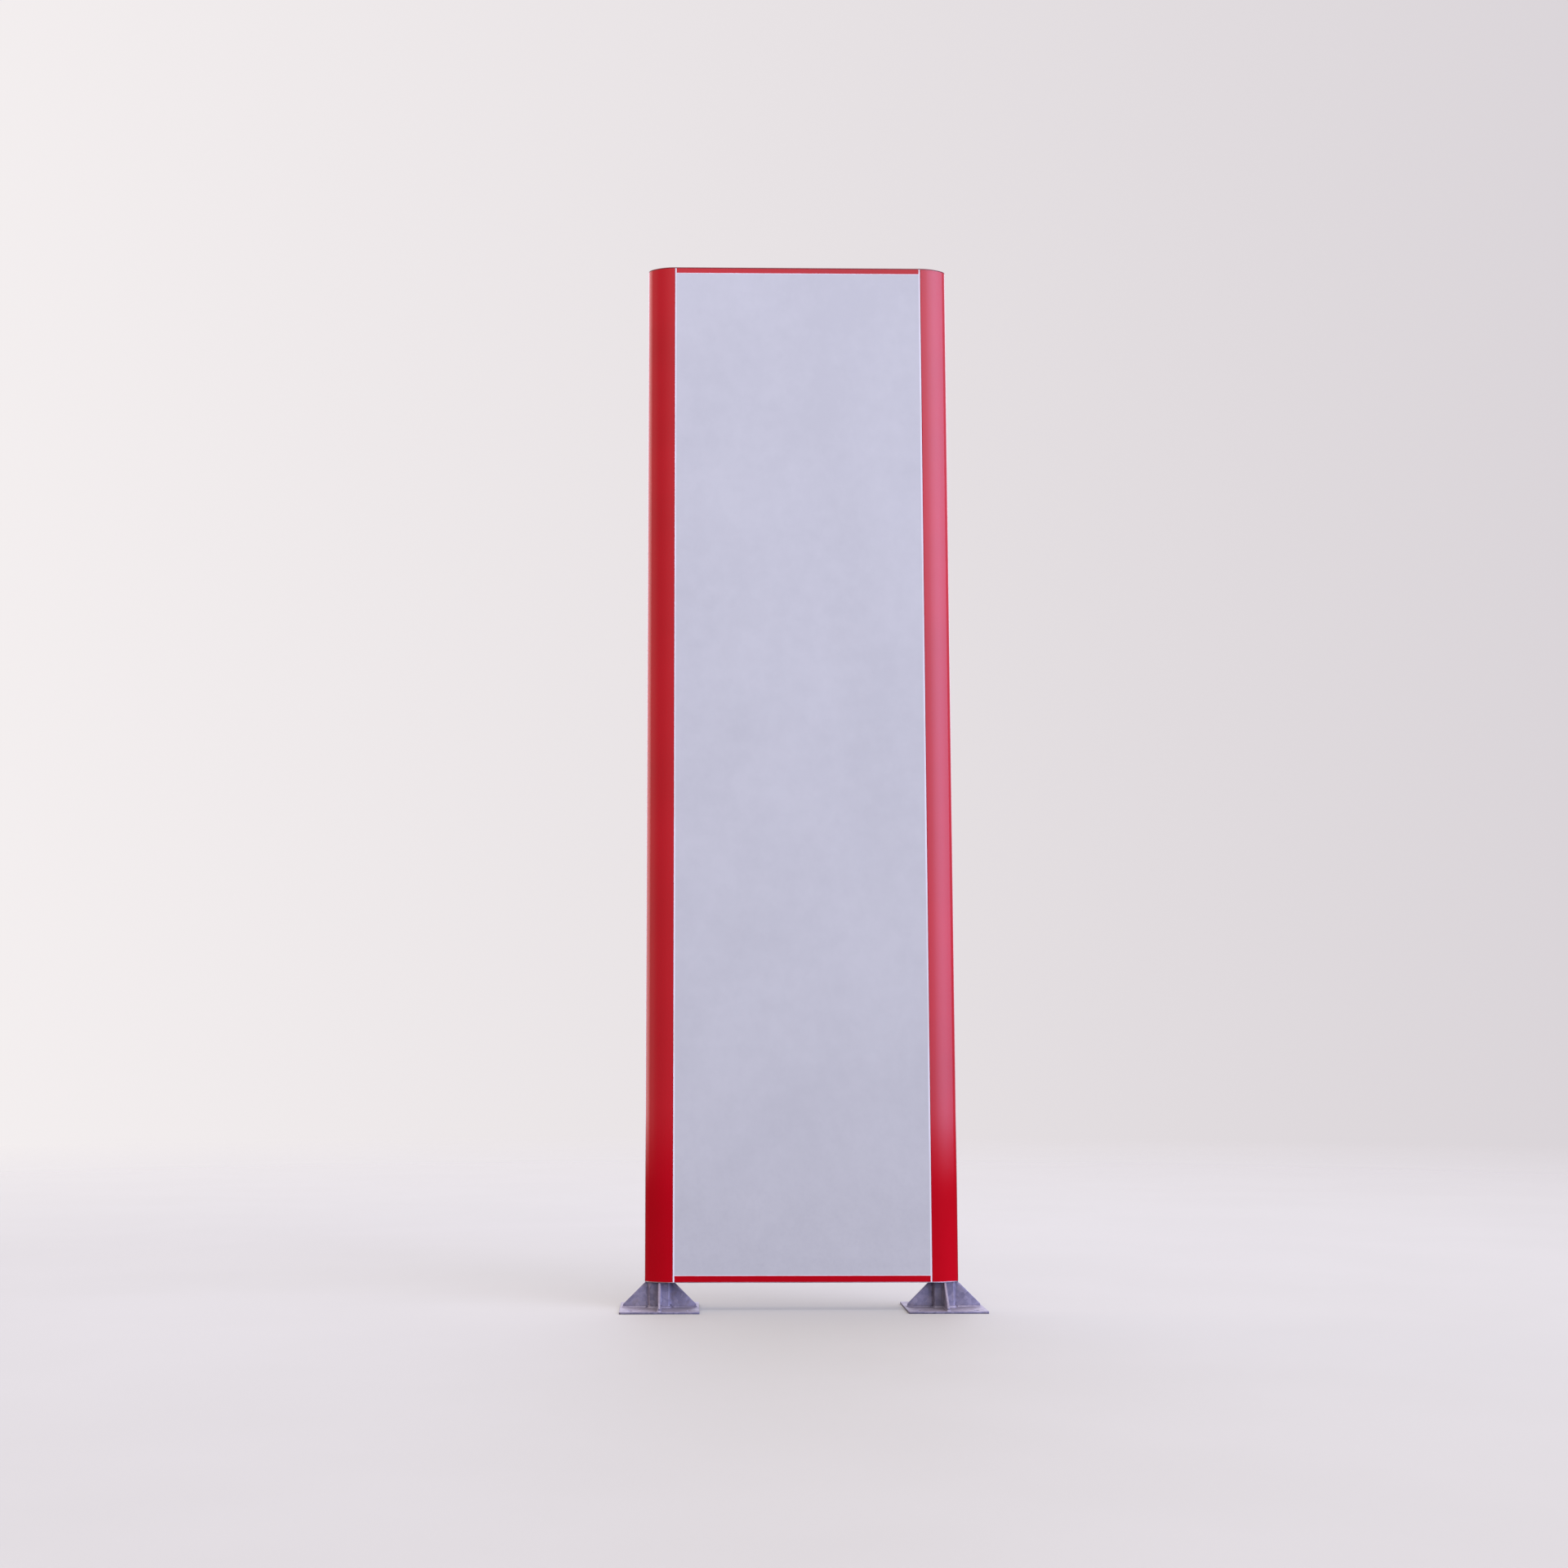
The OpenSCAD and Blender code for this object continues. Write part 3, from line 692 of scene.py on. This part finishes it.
cover = {
    "edge": 0.0005,
    "shankRadius": 0.002,
    "headRadius": 0.004,
    "fit": 0.00015,         # gap round the shanks
    "socketWide": 0.0025,   # across the flats
    "socketDeep": 0.0016,
    "railScrewLength": 0.011,
    "portScrewLength": 0.019,
    "closerScrewLength": 0.010,
    "closerPortScrewLength": 0.016,
    "railShares": (2 / 3,),         # places on the middle line, as shares of the way to the uprights
    "closerShares": (2 / 3, 2 / 9),
    "spokes": 48,           # corners round a screw
}


# Where the screws of the cover or the closing plates stand: pairs over the screw ports of the
# uprights, found from the group's box, and others on the middle line
def screwPlaces(name, middleShares):
    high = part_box(name)[1]
    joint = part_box("middle_closer")[1].x
    x, y = high.x - cover["headRadius"], high.y - cover["headRadius"]
    ports = [(sx * x, sy * y) for sx in (-1, 1) for sy in (-1, 1)]
    middle = [(s * joint * share, 0) for s in (-1, 1) for share in middleShares]
    return ports, middle


def makeTopCover():
    low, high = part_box("top_cover")
    thickness = high.z - low.z
    outline = outlineOf("top_cover", (0, 1))
    normals, following = edgeNormals(outline)
    ways = (normals + following) / (1 + (normals * following).sum(axis=1))[:, None]
    sinkDepth = cover["headRadius"] - cover["shankRadius"]
    sink = np.array([0, 0, sinkDepth]), np.array([0, thickness - sinkDepth, thickness])
    ports, middle = screwPlaces("top_cover_screws", cover["railShares"])
    loops = [(outline, ways, softRim(thickness, cover["edge"]))]
    loops += [(*holeLoop(spot, cover["shankRadius"] + cover["fit"]), sink) for spot in ports + middle]
    points, polygons = plateParts(loops, placer((0, 0, low.z), (1, 0, 0), (0, 1, 0), (0, 0, 1)))
    fitPiece(meshObject("cover_softened", points, polygons, 25), "dark_cover", "top_cover")


# A turned screw with a hexagonal socket: ring radius r at height z, where the socket's rings follow
# half the width across flats / cos(angle from the nearest flat's middle) instead of a circle
def screwParts(profile, spots, upsideDown):
    r, z, hexed = (np.array(column)[:, None] for column in zip(*profile))
    turn = np.linspace(0, 2 * np.pi, cover["spokes"], endpoint=False)[None, :]
    fromFlat = (turn % (np.pi / 3)) - np.pi / 6
    radius = np.where(hexed > 0, cover["socketWide"] / 2 / np.cos(fromFlat), r)
    grid = np.stack([radius * np.cos(turn), radius * np.sin(turn), z + 0 * turn], axis=-1).reshape(-1, 3)
    if upsideDown:
        grid = grid * (1, -1, -1)
    rows, columns = len(profile), cover["spokes"]
    polygons = gridFaces(rows, columns, True).tolist()
    polygons.append(list(range(columns))[::-1])
    polygons.append(list(range((rows - 1) * columns, rows * columns)))
    return [(grid + spot, polygons) for spot in spots]


# Rings from the tip to the bottom of the socket: (radius, height, 1 where the socket's hexagon is)
def sunkHead(length):
    shank, head, deep = cover["shankRadius"], cover["headRadius"], cover["socketDeep"]
    cone = head - shank
    wide = cover["socketWide"]
    return [(shank * 0.7, -length, 0), (shank, -length + shank * 0.4, 0), (shank, -cone, 0),
        (head - 0.0002, -0.0002, 0), (head - 0.0005, 0, 0), (wide * 0.66, 0, 0),
        (0, -0.0003, 1), (0, -deep, 1)]


def panHead(length, height):
    shank, head = cover["shankRadius"], cover["headRadius"]
    wide = cover["socketWide"]
    return [(shank * 0.7, -length, 0), (shank, -length + shank * 0.4, 0), (shank, 0, 0),
        (head - 0.0002, 0, 0), (head, 0.0002, 0), (head, height * 0.45, 0),
        (head * 0.88, height * 0.8, 0), (head * 0.7, height * 0.97, 0), (head * 0.55, height, 0),
        (wide * 0.66, height, 0), (0, height - 0.0003, 1), (0, height * 0.3, 1)]


def makeScrews():
    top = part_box("top_cover")[1].z
    ports, middle = screwPlaces("top_cover_screws", cover["railShares"])
    parts = screwParts(sunkHead(cover["portScrewLength"]), [(x, y, top) for x, y in ports], False)
    parts += screwParts(sunkHead(cover["railScrewLength"]), [(x, y, top) for x, y in middle], False)
    fitPiece(meshObject("cover_socket_screws", *joinParts(parts)), "zinc_plate", "top_cover_screws")
    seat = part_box("middle_closer")[0].z
    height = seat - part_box("closer_screws")[0].z
    ports, middle = screwPlaces("closer_screws", cover["closerShares"])
    long, short = cover["closerPortScrewLength"], cover["closerScrewLength"]
    parts = screwParts(panHead(long, height), [(x, y, seat) for x, y in ports], True)
    parts += screwParts(panHead(short, height), [(x, y, seat) for x, y in middle], True)
    fitPiece(meshObject("closer_socket_screws", *joinParts(parts)), "zinc_plate", "closer_screws")


makeTopCover()
makeScrews()
print("cover and screws built")


camera = {
    "place": (-0.342, -6.096, 0.714),
    "turnRight": 0.97,      # degrees, from looking along +Y
    "tiltUp": 7.115,        # degrees
    "lens": 49.1,           # millimetres, on a sensor 36 wide
    "sensor": 36,
    "shift": 0.0432,
    "reach": 100,           # metres that the camera sees
}


def makeCamera():
    data = bpy.data.cameras.new("standingView")
    data.lens = camera["lens"]
    data.sensor_width = camera["sensor"]
    data.shift_x = camera["shift"]
    data.clip_end = camera["reach"]
    holder = bpy.data.objects.new("standingView", data)
    holder.location = camera["place"]
    holder.rotation_euler = (np.radians(90 + camera["tiltUp"]), 0, -np.radians(camera["turnRight"]))
    bpy.context.scene.collection.objects.link(holder)
    bpy.context.scene.camera = holder


studio = {
    "backdropLeft": (0.93, 0.89, 0.89, 1),
    "backdropRight": (0.70, 0.66, 0.69, 1),
    "ambient": (0.06, 0.06, 0.07, 1),
    # each soft light: direction it comes from, colour, strength, how tight it is
    "lights": (
        ((0.81, -0.59, 0.30), (0.56, 0.62, 1.04), 5.0, 5.5),
        ((0.45, -0.80, 0.90), (1.0, 0.94, 0.90), 1.4, 3.5),
        ((-0.95, 0.25, 0.10), (1.0, 0.80, 0.76), 3.3, 6),
        ((0.05, 0.85, 0.45), (0.96, 0.97, 1.22), 2.3, 3),
        ((0.00, -0.15, 1.0), (1.0, 0.96, 0.94), 1.7, 4),
        ((-0.55, -0.83, 0.0), (0.98, 0.93, 1.02), 0.25, 4),
    ),
    "backdropSpread": (-0.4, 0.4),  # sideways directions between which the backdrop's colour changes
    "floorRings": (0.02, 18.0, 24),     # first and last radius, and how many
    "floorSpokes": 96,
    "floorColours": ((0.384, 0.372, 0.330, 1), (0.390, 0.378, 0.336, 1)),
    "seenFade": (3.0, 12.0),        # the pale floor thins out between these radii
    "mirroredFade": (6.0, 18.0),    # and the dark one, which the object mirrors, between these
    "floorBounce": (0.032, 0.026, 0.030, 1),   # what the floor gives back to the object
}


# The room light is the ambient colour plus, for each soft light, its colour times
# strength * max(0, cosine of the angle to its direction) ^ tightness. The camera sees the pale
# backdrop instead.
def makeRoomLight():
    world = bpy.data.worlds.new("studioLight")
    world.use_nodes = True
    tree = world.node_tree
    tree.nodes.clear()
    way = addNode(tree, "ShaderNodeTexCoord").outputs["Generated"]
    total = None
    for towards, colour, strength, tightness in studio["lights"]:
        lobe = addNode(tree, "ShaderNodeVectorMath", operation="DOT_PRODUCT")
        tree.links.new(way, lobe.inputs[0])
        lobe.inputs[1].default_value = Vector(towards).normalized()
        facing = mathNode(tree, "MAXIMUM", lobe.outputs["Value"], 0.0)
        amount = mathNode(tree, "MULTIPLY", mathNode(tree, "POWER", facing, tightness), strength)
        tint = addNode(tree, "ShaderNodeVectorMath", operation="SCALE")
        tint.inputs[0].default_value = colour
        tree.links.new(amount, tint.inputs["Scale"])
        if total is None:
            total = tint.outputs[0]
        else:
            plus = addNode(tree, "ShaderNodeVectorMath", operation="ADD")
            tree.links.new(total, plus.inputs[0])
            tree.links.new(tint.outputs[0], plus.inputs[1])
            total = plus.outputs[0]
    lit = addNode(tree, "ShaderNodeVectorMath", operation="ADD")
    tree.links.new(total, lit.inputs[0])
    lit.inputs[1].default_value = studio["ambient"][:3]
    across = addNode(tree, "ShaderNodeSeparateXYZ")
    tree.links.new(way, across.inputs[0])
    sideways = mapRange(tree, across.outputs["X"], *studio["backdropSpread"], 0, 1)
    backdrop = ramp(tree, sideways, (0.0, studio["backdropLeft"]), (1.0, studio["backdropRight"]))
    roomGlow = addNode(tree, "ShaderNodeBackground")
    tree.links.new(lit.outputs[0], roomGlow.inputs["Color"])
    seenGlow = addNode(tree, "ShaderNodeBackground")
    tree.links.new(backdrop, seenGlow.inputs["Color"])
    pick = addNode(tree, "ShaderNodeMixShader")
    tree.links.new(addNode(tree, "ShaderNodeLightPath").outputs["Is Camera Ray"], pick.inputs[0])
    tree.links.new(roomGlow.outputs[0], pick.inputs[1])
    tree.links.new(seenGlow.outputs[0], pick.inputs[2])
    out = addNode(tree, "ShaderNodeOutputWorld")
    tree.links.new(pick.outputs[0], out.inputs["Surface"])
    bpy.context.scene.world = world


# The floor is a disc: rings of radius r at angle a, at height 0
def makeFloor():
    rings = np.linspace(*studio["floorRings"])[:, None]
    turn = np.linspace(0, 2 * np.pi, studio["floorSpokes"], endpoint=False)[None, :]
    x, y = rings * np.cos(turn), rings * np.sin(turn)
    points = np.stack([x, y, np.zeros_like(x)], axis=-1).reshape(-1, 3)
    quads = gridFaces(len(rings), studio["floorSpokes"], True)
    centre = [list(range(studio["floorSpokes"]))]
    floor = meshObject("studioFloor", points, quads.tolist() + centre)
    material, tree, shader = startMaterial("studioFloor")
    plain, light = studio["floorColours"]
    feed(tree, shader.inputs["Base Color"], ramp(tree, noise(tree, 1.3, 5), (0.4, plain), (0.6, light)))
    shader.inputs["Roughness"].default_value = 0.75
    shader.inputs["Specular IOR Level"].default_value = 0.25
    feed(tree, shader.inputs["Normal"], bump(tree, noise(tree, 160.0, 3), 0.0001))
    # seen pale, but it mirrors and lights the object as a dark floor would, and both thin out
    dark = addNode(tree, "ShaderNodeBsdfDiffuse")
    dark.inputs["Color"].default_value = studio["floorBounce"]
    reach = addNode(tree, "ShaderNodeVectorMath", operation="LENGTH")
    tree.links.new(objectPlace(tree), reach.inputs[0])
    pick = addNode(tree, "ShaderNodeMixShader")
    tree.links.new(addNode(tree, "ShaderNodeLightPath").outputs["Is Camera Ray"], pick.inputs[0])
    layers = ((dark, studio["mirroredFade"]), (shader, studio["seenFade"]))
    for place, (layer, (near, far)) in enumerate(layers, start=1):
        thin = addNode(tree, "ShaderNodeMixShader")
        tree.links.new(mapRange(tree, reach.outputs["Value"], near, far, 0, 1), thin.inputs[0])
        tree.links.new(layer.outputs[0], thin.inputs[1])
        tree.links.new(addNode(tree, "ShaderNodeBsdfTransparent").outputs[0], thin.inputs[2])
        tree.links.new(thin.outputs[0], pick.inputs[place])
    tree.links.new(pick.outputs[0], tree.nodes["Material Output"].inputs["Surface"])
    floor.data.materials.append(material)


makeFloor()
makeRoomLight()
makeCamera()
bpy.context.scene.view_settings.view_transform = "Standard"
print("studio ready")
